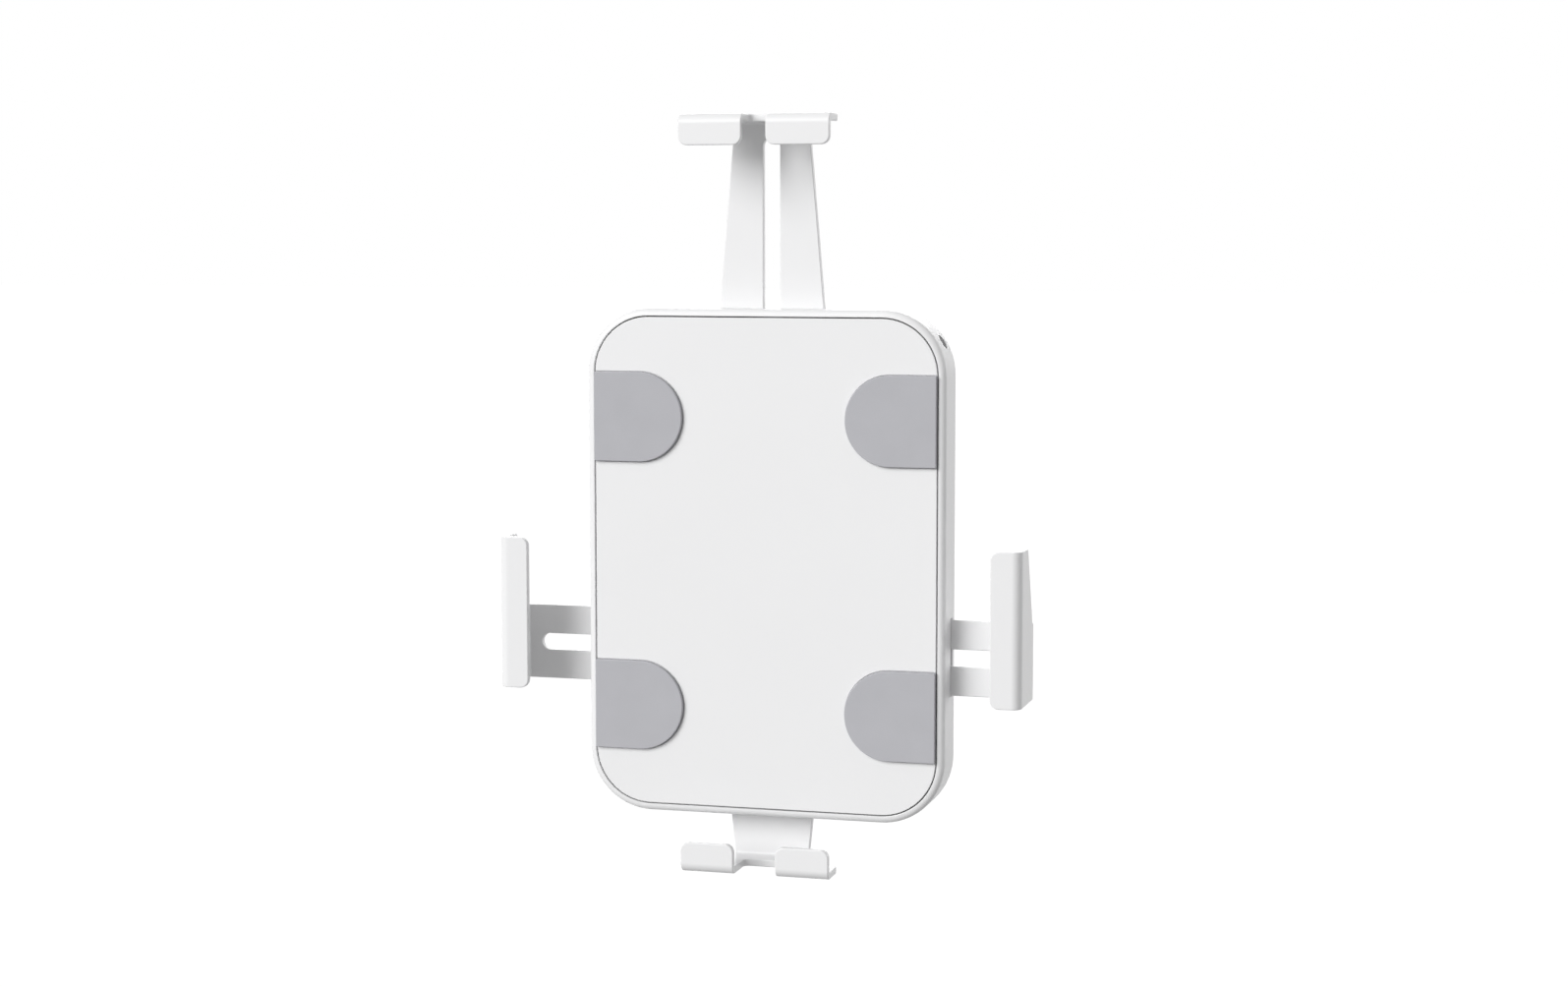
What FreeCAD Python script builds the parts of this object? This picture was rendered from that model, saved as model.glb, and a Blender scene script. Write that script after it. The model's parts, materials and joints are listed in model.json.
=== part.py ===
"""Adjustable wall holder with sliding sheet-metal hook arms, in millimetres.

The origin is the centre of the housing's wall face. +Y points into the wall, -Y to the
viewer, +X to the viewer's right and +Z up. Every arm is modelled standing upright, with its
strap along +Z, and is then turned about the Y axis to the side of the housing it leaves by.
"""
import FreeCAD
import Part
import math
import os
from collections import namedtuple

from FreeCAD import Vector

# Housing: a tray with its back wall on the wall and a rounded front rim
housing_width = 126.0
housing_height = 174.0
housing_depth = 16.0
housing_corner = 22.0
side_wall = 2.5
back_wall = 2.0
rim_round = 2.3

# Front panel, flush inside the rim
panel_seam = 0.4
panel_thickness = 1.6
post_width = 6.0
post_angle = 70.0
post_inset = 6.5

# Pads on the panel, straight along its edge and round at the inner end
pad_length = 31.6
pad_height = 31.1
pad_inset = 34.2
pad_stand = 1.5
pad_recess = 0.4

# Folded sheet of the arms
sheet = 2.5
bend_inner = 0.8
lip_reach = 10.5
lip_corner = 3.0
clear_depth = 8.7
web_shoulder = 9.6
shoulder_round = 2.0
fold_relief = 1.0
fold_round = 2.0
notch_round = 2.0

# Slides: the strap runs on rails, in slits through the side wall
rail_height = 1.0
rail_width = 2.0
rail_offset = 8.0
slide_gap = 0.1
slit_clearance = 0.35
hook_wall_gap = 1.35
slot_width = 5.8
slot_margin = 4.85
slot_clearance = 0.2
stop_clearance = 0.3
strap_margin = 4.0

# Side arms, which are mirror images
side_strap = 26.0
side_hook = 52.4
side_hook_base = -43.8
side_travel_in = 24.5
side_travel_out = 2.2

# Top arm
top_hook = 52.2
top_notch = 8.4
top_notch_depth = 11.0
top_strap_fold = 26.4
top_strap = 37.4
top_travel_down = 61.45
top_travel_up = 3.5

# Bottom bracket, which does not move
bottom_hook = 52.0
bottom_notch = 14.8
bottom_notch_depth = 15.0
bottom_strap_fold = 26.4
bottom_strap = 30.0
bottom_reach = 15.5
bottom_strap_inside = 20.0
bottom_screw_spacing = 16.0

# Clamp of each arm, guide stud beside it, and the screws of the bottom bracket
screw_radius = 2.0
thread_gap = 0.05
screw_hole_gap = 0.2
screw_head_flats = 7.0
screw_head_height = 2.4
screw_end_gap = 0.5
washer_width = 12.4
washer_thickness = 1.2
nut_flats = 6.4
nut_flange_flats = 9.0
nut_flange_thickness = 0.8
nut_flange_gap = 0.1
stud_head_flats = 8.0
stud_tail_flats = 3.6
fixing_gap = 0.5
tail_recess = 0.1

# Lock screw, sunk in the upper right corner of the side wall
lock_angle = 31.0
lock_setback = 5.8
lock_bore = 2.6
lock_boss_radius = 4.2
lock_boss_length = 3.0
lock_floor = 1.5
lock_head_radius = 2.45
lock_head_height = 1.6
lock_socket_flats = 2.6
lock_socket_depth = 0.8
lock_pin_radius = 0.5
lock_pin_gap = 0.4
lock_shank_radius = 1.5
lock_shank_length = 6.0
lock_tongue_width = 9.0
lock_tongue_thickness = 2.2
lock_tongue_gap = 0.4
lock_tongue_foot = 0.8

# Hooks that hold the panel's lower edge
latch_width = 10.0
latch_offset = 27.0
latch_thickness = 1.5
latch_reach = 2.0
latch_gap = 0.3
latch_depth = 7.0

# Wall screws
wall_screw_spacing = 100.0
wall_screw_hole = 2.5

# How far a cutter runs past what it cuts
overrun = 1.0

# Planes across the depth, and the distances that follow from the sizes above
bend_outer = bend_inner + sheet
front = -housing_depth
pad_face = front - pad_stand
lip_back = pad_face - clear_depth
lip_front = lip_back - sheet
floor = -back_wall
rail_face = floor - rail_height
strap_back = rail_face - slide_gap
strap_front = strap_back - sheet
panel_back = front + panel_thickness
panel_width = housing_width - 2 * (side_wall + panel_seam)
panel_height = housing_height - 2 * (side_wall + panel_seam)
panel_corner = housing_corner - side_wall - panel_seam
stud_radius = slot_width / 2 - slot_clearance
nut_seat = -tail_recess - nut_flange_thickness
corner_x = housing_width / 2 - housing_corner
corner_z = housing_height / 2 - housing_corner

# turn: degrees about Y from upright; wall: distance to the outside of the wall it leaves by;
# middle: of the strap across; fold and root: strap widths at the hook and in the housing;
# lips: (low, high) spans across; notch: depth of the cut between the lips;
# web: inner face of the hook's web; end: inner end of the strap
Arm = namedtuple("Arm", "turn wall middle fold root lips notch web end clamp guide slot")


def sliding_arm(turn, wall, middle, fold, root, lips, notch, travel_in, travel_out):
    """An arm whose slot, web and inner end follow from the wall it passes and its travel."""
    web = wall + hook_wall_gap + travel_in
    clamp = wall - side_wall - fixing_gap - washer_width / 2
    guide = clamp - washer_width / 2 - fixing_gap - stud_head_flats / 2
    slot = (guide - stud_radius - stop_clearance - travel_out, web - slot_margin)
    end = slot[0] - strap_margin
    return Arm(turn, wall, middle, fold, root, lips, notch, web, end, clamp, guide, slot)


def side_arm(side):
    """Right arm for side 1, left arm for side -1. The strap is flush with the hook's base."""
    base = -side_hook_base * side
    middle = base - side * side_strap / 2
    top = base - side * side_hook
    lips = [(min(base, top), max(base, top))]
    return sliding_arm(90 * side, housing_width / 2, middle, side_strap, side_strap,
                       lips, 0, side_travel_in, side_travel_out)


def lip_pair(hook, notch):
    """Two equal lips with a notch between them."""
    return [(-hook / 2, -notch / 2), (notch / 2, hook / 2)]


right = side_arm(1)
left = side_arm(-1)
top = sliding_arm(0, housing_height / 2, 0, top_strap_fold, top_strap,
                  lip_pair(top_hook, top_notch), top_notch_depth, top_travel_down, top_travel_up)
bottom = Arm(180, housing_height / 2, 0, bottom_strap_fold, bottom_strap,
             lip_pair(bottom_hook, bottom_notch), bottom_notch_depth,
             housing_height / 2 + bottom_reach,
             housing_height / 2 - side_wall - bottom_strap_inside,
             housing_height / 2 - side_wall - bottom_strap_inside / 2, None, None)
sliders = {"top_arm": top, "left_arm": left, "right_arm": right}


def outline(corners, to_space):
    """Face through (u, v, radius) corners, with a tangent arc where there is a radius."""
    runs = []
    for i, (u, v, radius) in enumerate(corners):
        corner = Vector(u, v, 0)
        if not radius:
            runs.append((corner, None, corner))
            continue
        before = Vector(*corners[i - 1][:2], 0) - corner
        after = Vector(*corners[(i + 1) % len(corners)][:2], 0) - corner
        half_turn = before.getAngle(after) / 2
        before.normalize()
        after.normalize()
        setback = radius / math.tan(half_turn)
        bisector = (before + after).normalize()
        crown = corner + bisector * (radius / math.sin(half_turn) - radius)
        runs.append((corner + before * setback, crown, corner + after * setback))
    edges = []
    for i, (start, crown, finish) in enumerate(runs):
        if crown:
            points = [to_space(p.x, p.y) for p in (start, crown, finish)]
            edges.append(Part.Arc(*points).toShape())
        following = runs[(i + 1) % len(runs)][0]
        if finish.distanceToPoint(following) > 1e-6:
            ends = [to_space(p.x, p.y) for p in (finish, following)]
            edges.append(Part.LineSegment(*ends).toShape())
    return Part.Face(Part.Wire(edges))


def rectangle(x_low, x_high, z_low, z_high, radius=0):
    """Corners of a rectangle, all with one radius."""
    return [(x_low, z_low, radius), (x_high, z_low, radius),
            (x_high, z_high, radius), (x_low, z_high, radius)]


def plate(corners, y_low, y_high):
    """Outline seen from the front, extruded through the depth."""
    face = outline(corners, lambda x, z: Vector(x, y_low, z))
    return face.extrude(Vector(0, y_high - y_low, 0))


def upright_prism(corners, z_low, z_high):
    """Outline of (x, y) corners seen from above, extruded upwards."""
    face = outline(corners, lambda x, y: Vector(x, y, z_low))
    return face.extrude(Vector(0, 0, z_high - z_low))


def centred(width, height, radius):
    """Corners of a rounded rectangle about the origin."""
    return rectangle(-width / 2, width / 2, -height / 2, height / 2, radius)


def corner_radius(flats):
    """Distance from a hexagon's centre to its corners, from its width across the flats."""
    return flats / math.sqrt(3)


def hexagon(u, v, flats):
    """Corners of a regular hexagon, with two flats at right angles to the second axis."""
    radius = corner_radius(flats)
    angles = [math.radians(60 * i) for i in range(6)]
    return [(u + radius * math.cos(a), v + radius * math.sin(a), 0) for a in angles]


def rod(radius, x, z, y_low, y_high):
    """Cylinder along the depth."""
    return Part.makeCylinder(radius, y_high - y_low, Vector(x, y_low, z), Vector(0, 1, 0))


def turned(shape, angle):
    """Shape turned about the Y axis, so that an upright one points to another side."""
    copy = shape.copy()
    copy.rotate(Vector(0, 0, 0), Vector(0, 1, 0), angle)
    return copy


def fused(shapes):
    """One solid without the seams between its pieces."""
    return shapes[0].fuse(shapes[1:]).removeSplitter()


# Folded arms

def folded_section(arm, x_low, x_high):
    """Lip, web and strap as one bent sheet, extruded across the hook's full width."""
    outer = arm.web + sheet
    tip = outer - lip_reach
    corners = [
        (lip_front, tip, 0),
        (lip_front, outer, bend_outer),
        (strap_back, outer, bend_outer),
        (strap_back, arm.end, 0),
        (strap_front, arm.end, 0),
        (strap_front, arm.web, bend_inner),
        (lip_back, arm.web, bend_inner),
        (lip_back, tip, 0),
    ]
    face = outline(corners, lambda y, z: Vector(x_low, y, z))
    return face.extrude(Vector(x_high - x_low, 0, 0))


def strap_waste(arm, side, hook_edge):
    """What is cut off beside the strap and the tapering part of the web, on one side."""
    fold_edge = arm.middle + side * arm.fold / 2
    root_edge = arm.middle + side * arm.root / 2
    beyond = side * (max(abs(hook_edge), abs(root_edge)) + overrun)
    bend_start = arm.web + sheet - bend_outer
    fold_line = strap_front - bend_inner - fold_relief
    wall_inside = arm.wall - side_wall
    shoulder = strap_front - web_shoulder - sheet / 2
    beside_web = upright_prism([
        (hook_edge, shoulder - bend_outer, 0),
        (hook_edge, shoulder, shoulder_round),
        (fold_edge, fold_line, fold_round),
        (fold_edge, overrun, 0),
        (beyond, overrun, 0),
        (beyond, shoulder - bend_outer, 0),
    ], bend_start, arm.web + sheet + overrun)
    beside_strap = plate([
        (fold_edge, bend_start, 0),
        (root_edge, wall_inside, 0),
        (root_edge, arm.end - overrun, 0),
        (beyond, arm.end - overrun, 0),
        (beyond, bend_start, 0),
    ], strap_front - overrun, overrun)
    return [beside_web, beside_strap]


def hook_arm(arm):
    """Folded arm, upright: blank, taper, notch between the lips, slot and lip corners."""
    low = min(span[0] for span in arm.lips)
    high = max(span[1] for span in arm.lips)
    half = arm.root / 2
    x_low = min(low, arm.middle - half)
    x_high = max(high, arm.middle + half)
    blank = folded_section(arm, x_low, x_high)
    tip = arm.web + sheet - lip_reach
    waste = []
    if low < arm.middle - arm.fold / 2 - 1e-6:
        waste += strap_waste(arm, -1, low)
    if high > arm.middle + arm.fold / 2 + 1e-6:
        waste += strap_waste(arm, 1, high)
    if arm.notch:
        gap_low, gap_high = arm.lips[0][1], arm.lips[1][0]
        floor_y = lip_front + arm.notch
        waste.append(upright_prism([
            (gap_low, lip_front - overrun, 0), (gap_high, lip_front - overrun, 0),
            (gap_high, floor_y, notch_round), (gap_low, floor_y, notch_round),
        ], tip - overrun, arm.web + sheet + overrun))
    if arm.slot:
        waste.append(plate(rectangle(arm.middle - slot_width / 2, arm.middle + slot_width / 2,
                                     *arm.slot, slot_width / 2),
                           strap_front - overrun, overrun))
    body = blank.cut(waste).removeSplitter()
    corners = [edge for edge in body.Edges if is_lip_corner(edge, tip)]
    return turned(body.makeFillet(lip_corner, corners), arm.turn)


def is_lip_corner(edge, tip):
    """True for the short edges through the sheet at the free corners of the lips."""
    if len(edge.Vertexes) != 2:
        return False
    ends = [vertex.Point for vertex in edge.Vertexes]
    across = abs(ends[0].x - ends[1].x) < 1e-6
    return across and all(abs(point.z - tip) < 1e-6 and point.y < lip_back + 1e-6 for point in ends)


def bracket_screw_places():
    """Places of the bottom bracket's two screws, upright."""
    half = bottom_screw_spacing / 2
    return [(-half, bottom.clamp), (half, bottom.clamp)]


def bottom_bracket():
    """Fixed bracket: the same folded form, with two screw holes in place of the slot."""
    holes = [rod(screw_radius + screw_hole_gap, x, z, strap_front - overrun, 0)
             for x, z in bracket_screw_places()]
    return hook_arm(bottom).cut([turned(hole, bottom.turn) for hole in holes])


# Fixings, all upright at their place on the strap

def machine_screw(x, z, seat):
    """Hexagon-headed screw, whose head sits on the plane y = seat."""
    head = plate(hexagon(x, z, screw_head_flats), seat - screw_head_height, seat)
    shank = rod(screw_radius - thread_gap, x, z, seat, -tail_recess - screw_end_gap)
    return fused([head, shank])


def flanged_nut(x, z, barrel):
    """Hexagon nut let into the back wall from behind, with or without a barrel in the slot."""
    pieces = [
        plate(hexagon(x, z, nut_flange_flats), nut_seat, -tail_recess),
        plate(hexagon(x, z, nut_flats), rail_face, nut_seat),
    ]
    if barrel:
        pieces.append(rod(stud_radius, x, z, strap_front + slide_gap, rail_face))
    return fused(pieces).cut(rod(screw_radius, x, z, strap_front - overrun, overrun))


def guide_stud(x, z):
    """Headed stud that guides the slot, with a hexagon tail riveted in the back wall."""
    head_seat = strap_front - slide_gap
    return fused([
        plate(hexagon(x, z, stud_tail_flats), floor, -tail_recess),
        rod(stud_radius, x, z, head_seat, floor),
        plate(hexagon(x, z, stud_head_flats), head_seat - washer_thickness, head_seat),
    ])


def clamp_pieces(name, arm):
    """Screw, square washer, nut and guide stud of one sliding arm."""
    x, z, half = arm.middle, arm.clamp, washer_width / 2
    washer_back = strap_front - slide_gap
    washer_front = washer_back - washer_thickness
    washer = plate(rectangle(x - half, x + half, z - half, z + half), washer_front, washer_back)
    bore = rod(screw_radius + screw_hole_gap, x, z, washer_front, washer_back)
    pieces = {
        name + "_clamp_screw": machine_screw(x, z, washer_front),
        name + "_washer": washer.cut(bore),
        name + "_nut": flanged_nut(x, z, True),
        name + "_guide_stud": guide_stud(x, arm.guide),
    }
    return {node: turned(piece, arm.turn) for node, piece in pieces.items()}


def bracket_fixings():
    """Two screws and two nuts of the bottom bracket, as two groups."""
    screws = [machine_screw(x, z, strap_front) for x, z in bracket_screw_places()]
    nuts = [flanged_nut(x, z, False) for x, z in bracket_screw_places()]
    return {
        "bottom_bracket_screws": turned(Part.Compound(screws), bottom.turn),
        "bottom_bracket_nuts": turned(Part.Compound(nuts), bottom.turn),
    }


# Lock, modelled upright at the corner's centre, then turned out along the corner

def at_lock(shape):
    """Upright lock feature moved to the upper right corner."""
    placed = turned(shape, 90 - lock_angle)
    placed.translate(Vector(corner_x, 0, corner_z))
    return placed


def lock_rod(radius, z_low, z_high):
    """Cylinder on the lock screw's axis, between two distances from the corner's centre."""
    return Part.makeCylinder(radius, z_high - z_low, Vector(0, -lock_setback, z_low))


lock_boss_end = housing_corner - side_wall - lock_boss_length
lock_seat = lock_boss_end + lock_floor


def lock_screw():
    """Round-headed security screw with a hexagon socket and a centre pin."""
    head_top = lock_seat + lock_head_height
    head = lock_rod(lock_head_radius, lock_seat, head_top)
    shank = lock_rod(lock_shank_radius, lock_seat - lock_shank_length, lock_seat)
    socket = upright_prism(hexagon(0, -lock_setback, lock_socket_flats),
                           head_top - lock_socket_depth, head_top + overrun)
    pin = lock_rod(lock_pin_radius, lock_seat, head_top - lock_pin_gap)
    return at_lock(fused([fused([head, shank]).cut(socket), pin]))


def lock_tongue():
    """Tongue behind the panel that the lock screw is threaded into."""
    far = lock_boss_end - lock_tongue_gap
    near = far - lock_tongue_thickness
    half = lock_tongue_width / 2
    box = upright_prism([(-half, panel_back - panel_thickness / 2, 0),
                         (half, panel_back - panel_thickness / 2, 0),
                         (half, floor - lock_tongue_foot, 0),
                         (-half, floor - lock_tongue_foot, 0)], near, far)
    thread = lock_rod(lock_shank_radius + thread_gap, near - overrun, far + overrun)
    return at_lock(box.cut(thread))


# Front panel and pads

def pad_outline(side, level):
    """D-shaped outline: straight along the panel's edge and a half circle at the inner end."""
    edge = side * panel_width / 2
    inner = side * (panel_width / 2 - pad_length)
    middle = level * (panel_height / 2 - pad_inset)
    low, high = middle - pad_height / 2, middle + pad_height / 2
    return [(edge, low, 0), (inner, low, pad_height / 2),
            (inner, high, pad_height / 2), (edge, high, 0)]


def panel_blank(y_low, y_high):
    """Plate with the panel's outline."""
    return plate(centred(panel_width, panel_height, panel_corner), y_low, y_high)


def pad(side, level):
    """Soft pad, let into the panel and standing proud of it."""
    body = plate(pad_outline(side, level), pad_face, front + pad_recess)
    return body.common(panel_blank(pad_face - overrun, 0))


pad_places = {"pad_upper_left": (-1, 1), "pad_upper_right": (1, 1),
              "pad_lower_left": (-1, -1), "pad_lower_right": (1, -1)}


def latch(side):
    """Hook at the panel's lower edge, whose toe lies behind a lug on the bottom wall."""
    wall_inside = -housing_height / 2 + side_wall
    leg_low = wall_inside + latch_reach + latch_gap
    leg_high = leg_low + latch_thickness
    toe_front = -latch_depth - latch_thickness
    x_low = side * latch_offset - latch_width / 2
    x_high = x_low + latch_width
    leg = plate(rectangle(x_low, x_high, leg_low, leg_high),
                panel_back - panel_thickness / 2, toe_front + latch_thickness)
    toe = plate(rectangle(x_low, x_high, wall_inside + latch_gap, leg_high),
                toe_front, toe_front + latch_thickness)
    return [leg, toe]


def latch_lug(side):
    """Lug on the bottom wall, in front of the toe of a latch."""
    wall_inside = -housing_height / 2 + side_wall
    x_low = side * latch_offset - latch_width / 2
    lug_back = -latch_depth - latch_thickness - latch_gap
    return plate(rectangle(x_low, x_low + latch_width, wall_inside - side_wall / 2,
                           wall_inside + latch_reach), lug_back - latch_reach, lug_back)


def front_panel():
    """Cover plate with pad recesses, two latches and the lock tongue."""
    recesses = [plate(pad_outline(*place), front - overrun, front + pad_recess)
                for place in pad_places.values()]
    face = panel_blank(front, panel_back).cut(recesses)
    return fused([face] + latch(-1) + latch(1) + [lock_tongue()])


# Housing

def slit(arm):
    """Slit in the wall that the strap passes through."""
    half = max(arm.root, arm.fold) / 2 + slit_clearance
    cutter = plate(rectangle(arm.middle - half, arm.middle + half,
                             arm.wall - side_wall - overrun, arm.wall + overrun),
                   strap_front - stop_clearance, strap_back + stop_clearance)
    return turned(cutter, arm.turn)


def rails(arm, inner_end, y_face, offset):
    """Two low rails on the back wall that carry the strap, on both sides of its middle."""
    pieces = []
    for side in (-1, 1):
        middle = arm.middle + side * offset
        rail = plate(rectangle(middle - rail_width / 2, middle + rail_width / 2,
                               inner_end, arm.wall - side_wall / 2), y_face, floor / 2)
        pieces.append(turned(rail, arm.turn))
    return pieces


def panel_posts():
    """Square posts near the corners that the panel rests on."""
    reach = housing_corner - side_wall - post_inset
    angle = math.radians(post_angle)
    x = corner_x + reach * math.cos(angle)
    z = corner_z + reach * math.sin(angle)
    half = post_width / 2
    return [plate(rectangle(sx * x - half, sx * x + half, sz * z - half, sz * z + half),
                  panel_back, floor / 2)
            for sx in (-1, 1) for sz in (-1, 1)]


def wall_screw_places():
    """Square of wall screws."""
    half = wall_screw_spacing / 2
    return [(x, z) for x in (-half, half) for z in (-half, half)]


def nut_hole(x, z):
    """Cutter for the hexagon hole of a nut, with a wider pocket behind for its flange."""
    pocket = hexagon(x, z, nut_flange_flats + 2 * nut_flange_gap)
    return fused([plate(hexagon(x, z, nut_flats), floor - overrun, overrun),
                  plate(pocket, nut_seat, overrun)])


def stud_hole(x, z):
    """Cutter for the hexagon hole that a guide stud is riveted in."""
    return plate(hexagon(x, z, stud_tail_flats), floor - overrun, overrun)


def housing():
    """Tray with a rounded rim, slits, rails, posts, lock boss and holes."""
    block = plate(centred(housing_width, housing_height, housing_corner), front, 0)
    rim = [edge for edge in block.Edges if edge.BoundBox.YMax < front + 1e-6]
    block = block.makeFillet(rim_round, rim)
    hollow = plate(centred(housing_width - 2 * side_wall, housing_height - 2 * side_wall,
                           housing_corner - side_wall), front - overrun, floor)
    inside = panel_posts() + [latch_lug(-1), latch_lug(1)]
    beside_nuts = bottom_screw_spacing / 2 + corner_radius(nut_flats) + fixing_gap + rail_width / 2
    inside += rails(bottom, bottom.end, strap_back, beside_nuts)
    for arm in sliders.values():
        inside += rails(arm, arm.guide - stud_head_flats / 2, rail_face, rail_offset)
    inside.append(at_lock(lock_rod(lock_boss_radius, lock_boss_end,
                                   housing_corner - side_wall / 2)))
    tray = fused([block.cut(hollow)] + inside)
    holes = [slit(arm) for arm in (top, left, right, bottom)]
    holes += [rod(wall_screw_hole, x, z, floor - overrun, overrun)
              for x, z in wall_screw_places()]
    for arm in sliders.values():
        holes.append(turned(nut_hole(arm.middle, arm.clamp), arm.turn))
        holes.append(turned(stud_hole(arm.middle, arm.guide), arm.turn))
    holes += [turned(nut_hole(x, z), bottom.turn) for x, z in bracket_screw_places()]
    holes.append(at_lock(lock_rod(lock_bore, lock_seat, housing_corner + overrun)))
    holes.append(at_lock(lock_rod(lock_shank_radius + screw_hole_gap, lock_boss_end - overrun,
                                  lock_seat + overrun)))
    return tray.cut(holes)


def build():
    """All pieces by node name."""
    pieces = {"housing": housing(), "front_panel": front_panel(), "lock_screw": lock_screw()}
    for name, place in pad_places.items():
        pieces[name] = pad(*place)
    for name, arm in sliders.items():
        pieces[name] = hook_arm(arm)
        pieces.update(clamp_pieces(name, arm))
    pieces["bottom_bracket"] = bottom_bracket()
    pieces.update(bracket_fixings())
    return pieces


os.makedirs("parts", exist_ok=True)
for node, shape in build().items():
    shape.exportStep("parts/" + node + ".step")
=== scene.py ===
# %% [markdown]
# # A white wall holder with sliding hooks
# The real object is a shallow housing that is screwed to a wall. Three folded sheet-metal arms
# slide out of its sides and one fixed bracket stands out below, and each ends in a hook.
# This lesson dresses the measured model: it rounds the edges, mixes the finishes, and sets up
# a camera, a floor and soft light. Everything is in metres, in the same frame as the model.

# %% Load the measured model
import json
import math

import bmesh
import bpy
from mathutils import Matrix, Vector

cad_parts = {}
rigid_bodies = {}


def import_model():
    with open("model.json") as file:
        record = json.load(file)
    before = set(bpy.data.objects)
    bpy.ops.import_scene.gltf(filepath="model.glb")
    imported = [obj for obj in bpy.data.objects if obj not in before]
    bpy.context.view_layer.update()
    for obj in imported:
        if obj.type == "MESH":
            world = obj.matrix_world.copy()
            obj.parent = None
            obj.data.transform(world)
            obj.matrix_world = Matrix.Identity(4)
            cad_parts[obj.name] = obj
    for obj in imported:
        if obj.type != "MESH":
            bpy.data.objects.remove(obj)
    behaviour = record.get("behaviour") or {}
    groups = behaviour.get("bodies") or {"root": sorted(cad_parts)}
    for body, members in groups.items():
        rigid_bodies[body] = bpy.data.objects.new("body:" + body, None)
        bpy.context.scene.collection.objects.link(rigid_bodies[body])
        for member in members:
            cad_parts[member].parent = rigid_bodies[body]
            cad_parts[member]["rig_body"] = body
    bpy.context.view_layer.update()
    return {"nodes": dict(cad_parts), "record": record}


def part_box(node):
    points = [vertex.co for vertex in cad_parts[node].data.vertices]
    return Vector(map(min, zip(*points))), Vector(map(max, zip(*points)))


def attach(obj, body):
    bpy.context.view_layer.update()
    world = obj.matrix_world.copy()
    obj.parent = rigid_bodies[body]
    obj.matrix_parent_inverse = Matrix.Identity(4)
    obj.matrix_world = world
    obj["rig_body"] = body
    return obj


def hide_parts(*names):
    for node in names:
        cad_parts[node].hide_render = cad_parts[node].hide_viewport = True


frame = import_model()

# %% [markdown]
# ## Camera
# The photograph was taken a little to the right of the holder and from slightly above it.
# A camera could be aimed with a constraint, but a stored place, direction and focal length
# repeat the photograph's view exactly, so that is what this cell does.

# %% Set up the camera
camera_place = Vector((0.25565, -0.92062, 0.11439))
camera_aim = Vector((-0.2636, 0.9599, -0.0951))
focal_length = 63.86
sensor_width = 36.0

bpy.ops.object.select_all(action="DESELECT")
bpy.ops.object.camera_add(location=camera_place)
camera = bpy.context.object
camera.name = "photo_camera"
camera.rotation_euler = camera_aim.to_track_quat("-Z", "Y").to_euler()
camera.data.sensor_width = sensor_width
camera.data.lens = focal_length
bpy.context.scene.camera = camera
print("camera turned by", [round(math.degrees(a), 1) for a in camera.rotation_euler])

# %% [markdown]
# ## Shader maths that reads like Python
# A finish is a small network of nodes. It could be wired up by hand in the shader editor.
# In a script it is easier to follow when a socket is wrapped in a class: `0.3 * dust + peel`
# then adds the Math nodes by itself, and one method adds every other kind of node.

# %% Wrap a socket
class Signal:
    """One output socket of a finish, which can be used in Python expressions."""

    def __init__(self, tree, socket=None):
        self.tree = tree
        self.socket = socket

    def node(self, kind, settings=None, sockets=None, output=0):
        """Adds a node: its settings come first, then the values or links of its sockets."""
        made = self.tree.nodes.new("ShaderNode" + kind)
        for key, value in (settings or {}).items():
            setattr(made, key, value)
        for key, value in (sockets or {}).items():
            if isinstance(value, Signal):
                self.tree.links.new(value.socket, made.inputs[key])
            else:
                made.inputs[key].default_value = value
        return Signal(self.tree, made.outputs[output]) if made.outputs else None

    def maths(self, operation, first, second):
        return self.node("Math", {"operation": operation}, {0: first, 1: second})

    def __add__(self, other):
        return self.maths("ADD", self, other)

    __radd__ = __add__

    def __mul__(self, other):
        return self.maths("MULTIPLY", self, other)

    __rmul__ = __mul__


print("a socket can now be added and multiplied")

# %% [markdown]
# ## Helpers for every finish
# Each finish starts from the piece's own coordinates, in metres, so that its grain has a real
# size and stays with the piece when an arm slides. Noise gives the uneven look of a real
# surface. A tint is mixed with Vector Math, because plain Math would turn a colour grey.

# %% Start and end a finish
def new_finish(name):
    """An empty material, and the object coordinates to build it from."""
    material = bpy.data.materials.new(name)
    material.use_nodes = True
    material.node_tree.nodes.clear()
    start = Signal(material.node_tree)
    return material, start.node("TexCoord", output="Object")


def speckle(place, size, detail=2.0):
    """Soft noise from 0 to 1, whose patches are about one size across, in metres."""
    return place.node("TexNoise", sockets={"Vector": place, "Scale": 1 / size,
                                           "Detail": detail}, output="Fac")


def tinted(signal, colour, level):
    """A colour made lighter or darker by a signal."""
    return signal.node("VectorMath", {"operation": "SCALE"},
                       {0: colour, "Scale": level}, output="Vector")


def raised(height, depth):
    """A bump from a height signal; the depth is in metres."""
    return height.node("Bump", sockets={"Height": height, "Distance": depth}, output="Normal")


def surface(place, sockets):
    """The shader that all of a finish's signals end in."""
    shader = place.node("BsdfPrincipled", sockets=sockets)
    place.node("OutputMaterial", sockets={"Surface": shader})


print("every finish starts with new_finish and ends with surface")

# %% [markdown]
# ## White powder coat
# Powder paint is sprayed on dry and baked. It ends satin white, almost even in colour, with a
# very fine orange-peel waviness about a millimetre across. A flat white would look like
# plaster, so the colour, the gloss and the surface each vary by a few percent.

# %% Mix the powder coat
coat_white = (0.81, 0.81, 0.815)
cloud_size = 0.03
peel_size = 0.0011
peel_depth = 0.000012
peel_gloss = 0.06
dust_size = peel_size / 4
dust_height = 0.3
cloud_tint, dust_tint = 0.02, 0.01
darkest_coat = 1 - (cloud_tint + dust_tint) / 2
arm_roughness = 0.34
housing_roughness = 0.38


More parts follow.
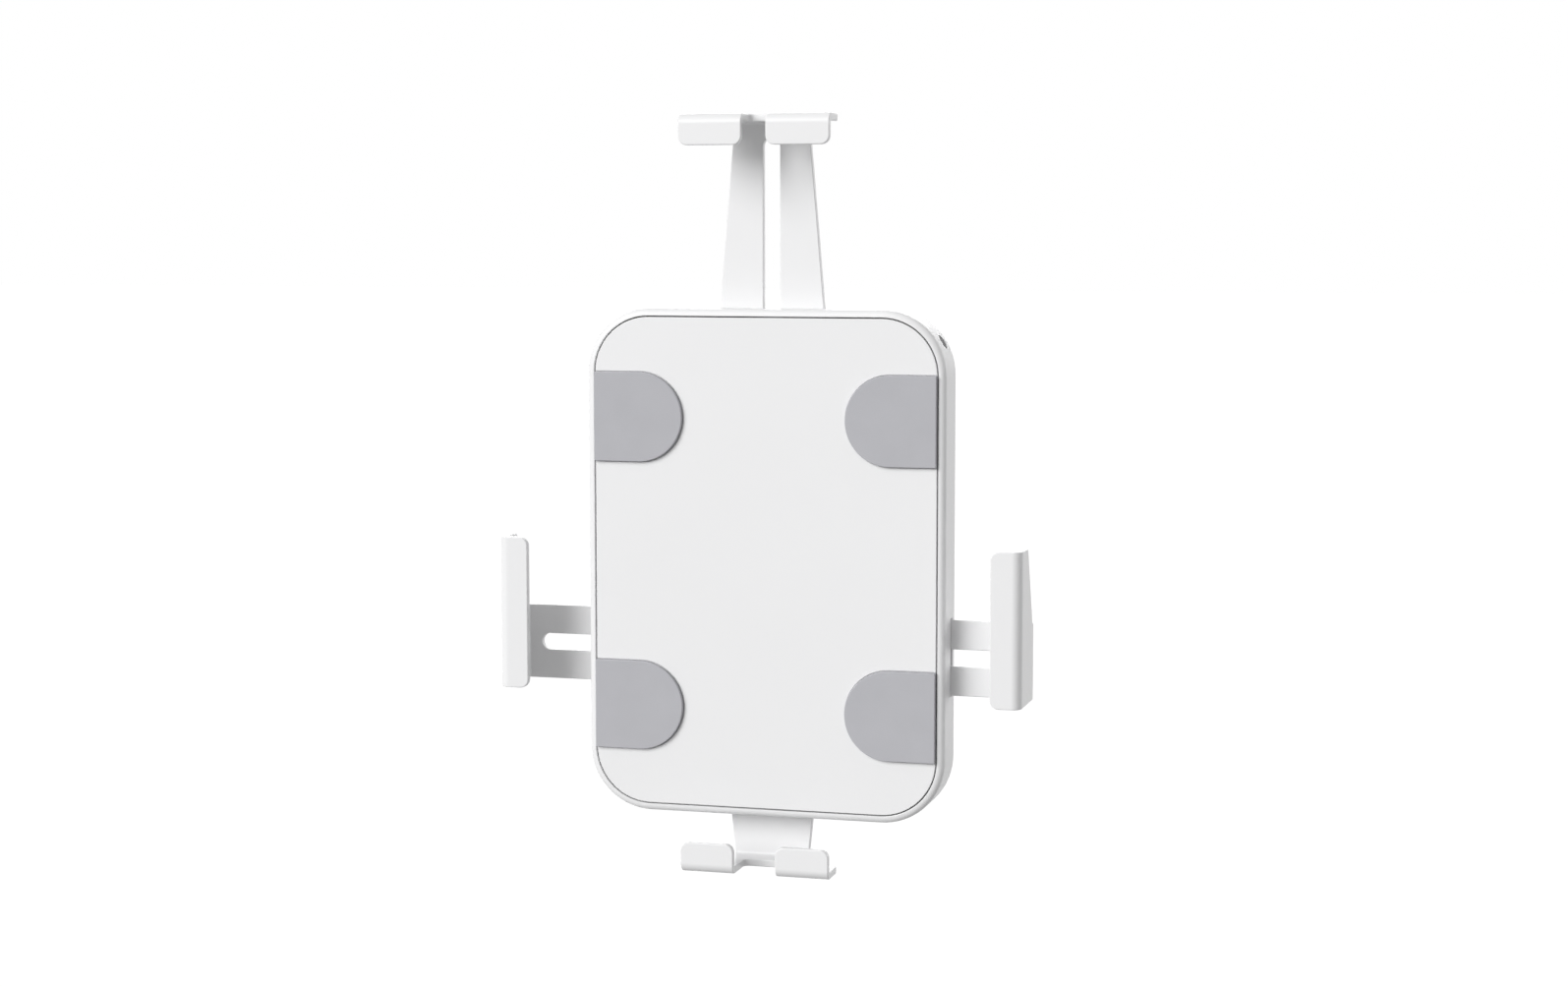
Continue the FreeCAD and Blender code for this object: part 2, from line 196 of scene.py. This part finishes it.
def powder_coat(name, roughness):
    """Baked powder paint, satin and faintly wavy."""
    material, place = new_finish(name)
    cloud = speckle(place, cloud_size)
    peel = speckle(place, peel_size)
    dust = speckle(place, dust_size, detail=1.0)
    tint = darkest_coat + cloud_tint * cloud + dust_tint * dust
    surface(place, {
        "Base Color": tinted(place, coat_white, tint),
        "Roughness": roughness + peel_gloss * peel,
        "Normal": raised(peel + dust_height * dust, peel_depth),
    })
    return material


arm_coat = powder_coat("white_arm_coat", arm_roughness)
housing_coat = powder_coat("white_housing_coat", housing_roughness)
print("coats:", arm_coat.name, housing_coat.name)

# %% [markdown]
# ## Grey rubber
# The four pads on the front panel are soft grey rubber. It is matt, a shade bluish, with a
# fine moulded grain of about a third of a millimetre. High roughness and a fine bump give
# that, and a faint cloudiness stands for the talc left on new rubber.

# %% Mix the rubber
rubber_grey = (0.45, 0.45, 0.475)
rubber_grain = 0.00035
grain_depth = rubber_grain / 8
talc_size = 0.01
talc_tint, grain_tint = 0.08, 0.05
darkest_rubber = 0.94
rubber_roughness = 0.78
grain_roughness = 0.12
rubber_shine = 0.4

pad_rubber, place = new_finish("grey_pad_rubber")
grain = speckle(place, rubber_grain, detail=3.0)
talc = speckle(place, talc_size)
surface(place, {
    "Base Color": tinted(place, rubber_grey,
                         darkest_rubber + talc_tint * talc + grain_tint * grain),
    "Roughness": rubber_roughness + grain_roughness * grain,
    "Normal": raised(grain, grain_depth),
    "Specular IOR Level": rubber_shine,
})
print("rubber:", pad_rubber.name)

# %% [markdown]
# ## Steel
# The fixings inside are zinc-plated steel, and the lock screw is blackened steel. Metal has
# no colour of its own under the shine, so Metallic is 1. Plating is cloudy and polished steel
# has fine scratches, which is why the roughness varies instead of the colour.

# %% Mix the steels
zinc_grey = (0.50, 0.51, 0.53)
black_grey = (0.10, 0.10, 0.105)
zinc_roughness = 0.22
black_roughness = 0.30
spangle_size = 0.002
spangle_tint = 0.2
spangle_roughness = 0.15
scratch_size = 0.0002
scratch_depth = scratch_size / 20
scratch_roughness = 0.05


def steel(name, colour, roughness):
    """Plated or blackened steel with a cloudy shine."""
    material, place = new_finish(name)
    spangle = speckle(place, spangle_size)
    scratch = speckle(place, scratch_size, detail=1.0)
    surface(place, {
        "Base Color": tinted(place, colour, 1 - spangle_tint / 2 + spangle_tint * spangle),
        "Metallic": 1.0,
        "Roughness": roughness + spangle_roughness * spangle + scratch_roughness * scratch,
        "Normal": raised(scratch, scratch_depth),
    })
    return material


bright_steel = steel("zinc_plated_steel", zinc_grey, zinc_roughness)
dark_steel = steel("blackened_steel", black_grey, black_roughness)
print("steels:", bright_steel.name, dark_steel.name)

# %% [markdown]
# ## Finishes on the measured pieces
# The measured pieces keep their shape and only get a finish. The record says which slot each
# piece belongs to, so one small table is enough and no piece is forgotten.

# %% Paint the measured pieces
finish_of_slot = {
    "body_white": housing_coat,
    "arm_white": arm_coat,
    "pad_grey": pad_rubber,
    "bright_steel": bright_steel,
    "dark_steel": dark_steel,
}
slot_of = {row["node"]: row["material_slot"] for row in frame["record"]["subparts"]}

for node, slot in slot_of.items():
    mesh = frame["nodes"][node].data
    mesh.materials.clear()
    mesh.materials.append(finish_of_slot[slot])
print("painted", len(slot_of), "pieces")

# %% [markdown]
# ## Rounded edges
# Punched sheet and moulded covers never have razor edges: tumbling, paint and moulding round
# them, and that thin round edge catches the light in the photograph. A Bevel modifier
# could do it live, but the measured meshes are loose triangles, so each visible piece is
# copied, its triangles are joined into whole faces, and its sharp edges are bevelled.

# %% Copy a piece and join its triangles
mm = 0.001
weld_distance = 0.001 * mm
flat_angle = math.radians(0.2)


def joined_copy(node, name):
    """A merged copy of a measured piece, which takes its place and rides with it."""
    bpy.ops.object.select_all(action="DESELECT")
    source = frame["nodes"][node]
    piece = bpy.data.objects.new(name, source.data.copy())
    bpy.context.scene.collection.objects.link(piece)
    bpy.context.view_layer.objects.active = piece
    piece.select_set(True)
    bpy.ops.mesh.customdata_custom_splitnormals_clear()
    bpy.ops.object.mode_set(mode="EDIT")
    bpy.ops.mesh.select_all(action="SELECT")
    bpy.ops.mesh.remove_doubles(threshold=weld_distance)
    bpy.ops.mesh.dissolve_limited(angle_limit=flat_angle)
    bpy.ops.object.mode_set(mode="OBJECT")
    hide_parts(node)
    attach(piece, source["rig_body"])
    print(name, "starts with", len(piece.data.polygons), "faces")
    return piece

# %% [markdown]
# ## Choosing edges
# A click on an edge becomes a test in a script: every edge of the mesh is looked at once, and
# those that pass are selected for the next operator. Sharp edges are found by the angle
# between their two faces. The weighted normals at the end keep large flat faces flat, while
# the narrow rounds beside them are shaded smoothly.

# %% Round the chosen edges
sharp_angle = math.radians(35)
edge_steps = 3


def select_edges(piece, wanted):
    """In edit mode, selects the edges that pass the test, and counts them."""
    bpy.ops.mesh.select_mode(type="EDGE")
    bpy.ops.mesh.select_all(action="DESELECT")
    shape = bmesh.from_edit_mesh(piece.data)
    chosen = [edge for edge in shape.edges if wanted(edge)]
    for edge in chosen:
        edge.select_set(True)
    bmesh.update_edit_mesh(piece.data)
    return len(chosen)


def shade_flat_and_round(piece):
    """Smooth shading across the rounds, with the large flat faces kept flat."""
    bpy.ops.object.shade_smooth_by_angle(angle=sharp_angle)
    weigh = piece.modifiers.new("flat_faces_stay_flat", "WEIGHTED_NORMAL")
    weigh.keep_sharp = True
    bpy.ops.object.modifier_apply(modifier=weigh.name)


def round_edges(piece, width, in_reach=lambda middle: True):
    """Bevels the sharp edges whose middle is in reach, then shades the piece smooth."""
    def sharp_in_reach(edge):
        sharp = edge.is_manifold and edge.calc_face_angle() > sharp_angle
        return sharp and in_reach((edge.verts[0].co + edge.verts[1].co) / 2)

    bpy.ops.object.mode_set(mode="EDIT")
    chosen = select_edges(piece, sharp_in_reach)
    bpy.ops.mesh.bevel(offset=width, segments=edge_steps, affect="EDGES",
                       clamp_overlap=False, loop_slide=False)
    bpy.ops.object.mode_set(mode="OBJECT")
    shade_flat_and_round(piece)
    print(piece.name, "edges rounded:", chosen, "faces:", len(piece.data.polygons))


print("edges sharper than", round(math.degrees(sharp_angle)), "degrees get rounded")

# %% [markdown]
# ## The arms and the bracket
# Each is one strip of 2.5 mm sheet, punched, folded and painted. All their edges get the same
# small round, a sixth of the thickness, as punching and paint leave it.

# %% Round the sheet edges
sheet_round = 0.4 * mm

for node in ("top_arm", "left_arm", "right_arm", "bottom_bracket"):
    arm = joined_copy(node, node + "_coated")
    round_edges(arm, sheet_round)

# %% [markdown]
# ## Housing and front panel
# Both are covers with a fine dark seam between them. Their edges along the seam, round the
# slits and at the wall are broken by a smaller radius than the sheet's. Only the edges that
# can be seen from outside are rounded, and the ribs inside stay as they are.

# %% Round the cover edges
cover_round = 0.3 * mm
panel_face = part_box("front_panel")[0].y
skin_depth = 0.5 * mm
wall_depth = 0.05 * mm
housing_low, housing_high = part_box("housing")


def on_outside(middle):
    """True near the outer surface of the housing's walls, its front rim or the wall face."""
    near_side = min(middle.x - housing_low.x, housing_high.x - middle.x,
                    middle.z - housing_low.z, housing_high.z - middle.z) < skin_depth
    near_front = middle.y < housing_low.y + skin_depth
    near_wall = middle.y > housing_high.y - wall_depth
    return near_side or near_front or near_wall


housing = joined_copy("housing", "housing_coated")
round_edges(housing, cover_round, on_outside)
panel = joined_copy("front_panel", "front_panel_coated")
round_edges(panel, cover_round, lambda middle: middle.y < panel_face + skin_depth)

# %% [markdown]
# ## Rubber pads
# The four pads are one moulding, used four times: straight along the panel's edge, and a half
# circle at the inner end. A cylinder cut in two would give the round end, but a block whose
# two inner corners are bevelled by half its height gives the whole D in one step. A second,
# finer bevel then softens the front edge, as a mould does. Each pad is glued into a shallow
# recess a hair larger than itself, which draws a thin dark line around it.

# %% Model one pad
pad_gap = 0.2 * mm
pad_round = 0.3 * mm
front_steps = 4
half_circle_steps = 24


def runs_back_at_inner_end(edge):
    """True for an edge that runs from the front of the pad to its back, at the inner end."""
    first, second = (vertex.co for vertex in edge.verts)
    return max(first.x, second.x) < 0 and abs(first.y - second.y) > pad_size.y / 2


def at_front(edge):
    """True for an edge that lies in the front half of the pad."""
    return max(vertex.co.y for vertex in edge.verts) < 0


low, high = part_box("pad_upper_right")
pad_size = high - low - Vector((pad_gap, 0, 2 * pad_gap))
bpy.ops.object.select_all(action="DESELECT")
bpy.ops.mesh.primitive_cube_add(size=1)
first_pad = bpy.context.object
first_pad.scale = pad_size
bpy.ops.object.transform_apply(scale=True)
bpy.ops.object.mode_set(mode="EDIT")
select_edges(first_pad, runs_back_at_inner_end)
bpy.ops.mesh.bevel(offset=pad_size.z / 2, segments=half_circle_steps, affect="EDGES")
bpy.ops.mesh.select_all(action="SELECT")
bpy.ops.mesh.remove_doubles(threshold=weld_distance)
select_edges(first_pad, at_front)
bpy.ops.mesh.bevel(offset=pad_round, segments=front_steps, affect="EDGES")
bpy.ops.object.mode_set(mode="OBJECT")
shade_flat_and_round(first_pad)
print("one pad:", len(first_pad.data.polygons), "faces")

# %% [markdown]
# ## The four places of the pads
# Each pad is a copy with a mesh of its own. The right-hand ones stay as they are, and the
# left-hand ones are turned half a turn, so that every round end points inwards.

# %% Put the pads on the panel
for level in ("upper", "lower"):
    for side in ("left", "right"):
        node = "pad_" + level + "_" + side
        low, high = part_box(node)
        pad = bpy.data.objects.new(node + "_rubber", first_pad.data.copy())
        bpy.context.scene.collection.objects.link(pad)
        bpy.ops.object.select_all(action="DESELECT")
        bpy.context.view_layer.objects.active = pad
        pad.select_set(True)
        outwards = -1 if side == "left" else 1
        pad.location = (low + high) / 2 + Vector((outwards * pad_gap / 2, 0, 0))
        pad.rotation_euler.y = math.pi if side == "left" else 0.0
        bpy.ops.object.transform_apply(location=True, rotation=True)
        pad.data.materials.append(pad_rubber)
        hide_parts(node)
        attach(pad, frame["nodes"][node]["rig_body"])
        print(pad.name, "added")
bpy.data.objects.remove(first_pad)

# %% [markdown]
# ## Which rays see white
# Everything around the holder should be pure white, and yet not light it from all sides. The
# Light Path node tells what kind of ray has arrived, so the floor and the sky can be white
# for the camera, for gloss and for clear parts, and still send less light to the object.

# %% Tell the rays apart
pure_white = (1, 1, 1, 1)


def sees_white(signal):
    """1 for rays of the camera, of gloss and through clear parts, and 0 for all others."""
    path = signal.node("LightPath").socket.node
    camera_ray, glossy_ray, clear_ray = (
        Signal(signal.tree, path.outputs["Is " + kind + " Ray"])
        for kind in ("Camera", "Glossy", "Transmission"))
    return camera_ray + glossy_ray + clear_ray


print("camera, glossy and transmission rays will see white")

# %% [markdown]
# ## Floor
# The holder is shown without its wall, so the floor lies well below it. It is pale and takes
# the holder's shadow, and half of what the camera sees of it is glow, so that it reaches the
# white of the sky without more light on the object.

# %% Lay the floor
floor_level = -0.6
floor_width = 60.0
floor_white = (0.42, 0.42, 0.42, 1)
glow = 1.75
glow_share = 0.5

bpy.ops.object.select_all(action="DESELECT")
bpy.ops.mesh.primitive_plane_add(size=floor_width, location=(0, 0, floor_level))
bpy.ops.object.transform_apply(location=True)
studio_floor = bpy.context.object
studio_floor.name = "studio_floor"

floor_finish, start = new_finish("pale_floor")
matt = start.node("BsdfDiffuse", sockets={"Color": floor_white})
lit = start.node("Emission", sockets={"Color": pure_white, "Strength": glow})
mixed = start.node("MixShader", sockets={0: glow_share * sees_white(start), 1: matt, 2: lit})
start.node("OutputMaterial", sockets={"Surface": mixed})
studio_floor.data.materials.append(floor_finish)
print("floor at", floor_level)

# %% [markdown]
# ## White surroundings and soft light
# The camera sees a pure white sky. For the object it is a quieter grey, which fills the
# shadows. Sun lamps as wide as a studio softbox light every view of the object alike, where
# an area lamp would only suit the front.

# %% Light the studio
sky_level = 0.36
softbox_spread = 40

world = bpy.data.worlds.new("studio")
bpy.context.scene.world = world
world.use_nodes = True
world.node_tree.nodes.clear()
sky = Signal(world.node_tree)
grey = sky.node("Background", sockets={"Color": pure_white, "Strength": sky_level})
white = sky.node("Background", sockets={"Color": pure_white, "Strength": 1.0})
mixed = sky.node("MixShader", sockets={0: sees_white(sky), 1: grey, 2: white})
sky.node("OutputWorld", sockets={"Surface": mixed})


def softbox(name, towards, strength):
    """A sun lamp as wide as a softbox, which shines from one direction."""
    bpy.ops.object.select_all(action="DESELECT")
    bpy.ops.object.light_add(type="SUN")
    lamp = bpy.context.object
    lamp.name = name
    lamp.rotation_euler = Vector(towards).to_track_quat("Z", "Y").to_euler()
    lamp.data.energy = strength
    lamp.data.angle = math.radians(softbox_spread)
    print(name, "shines with", strength)


softbox("key_softbox", towards=(-0.51, -0.76, 0.42), strength=2.69)
softbox("rim_softbox", towards=(0.70, 0.70, 0.10), strength=1.12)
softbox("back_softbox", towards=(-0.20, 0.95, 0.25), strength=1.1)

# %% [markdown]
# ## Finish
# Standard view colours keep a white of 0.8 as it is written.

# %% Finish
bpy.context.scene.view_settings.view_transform = "Standard"
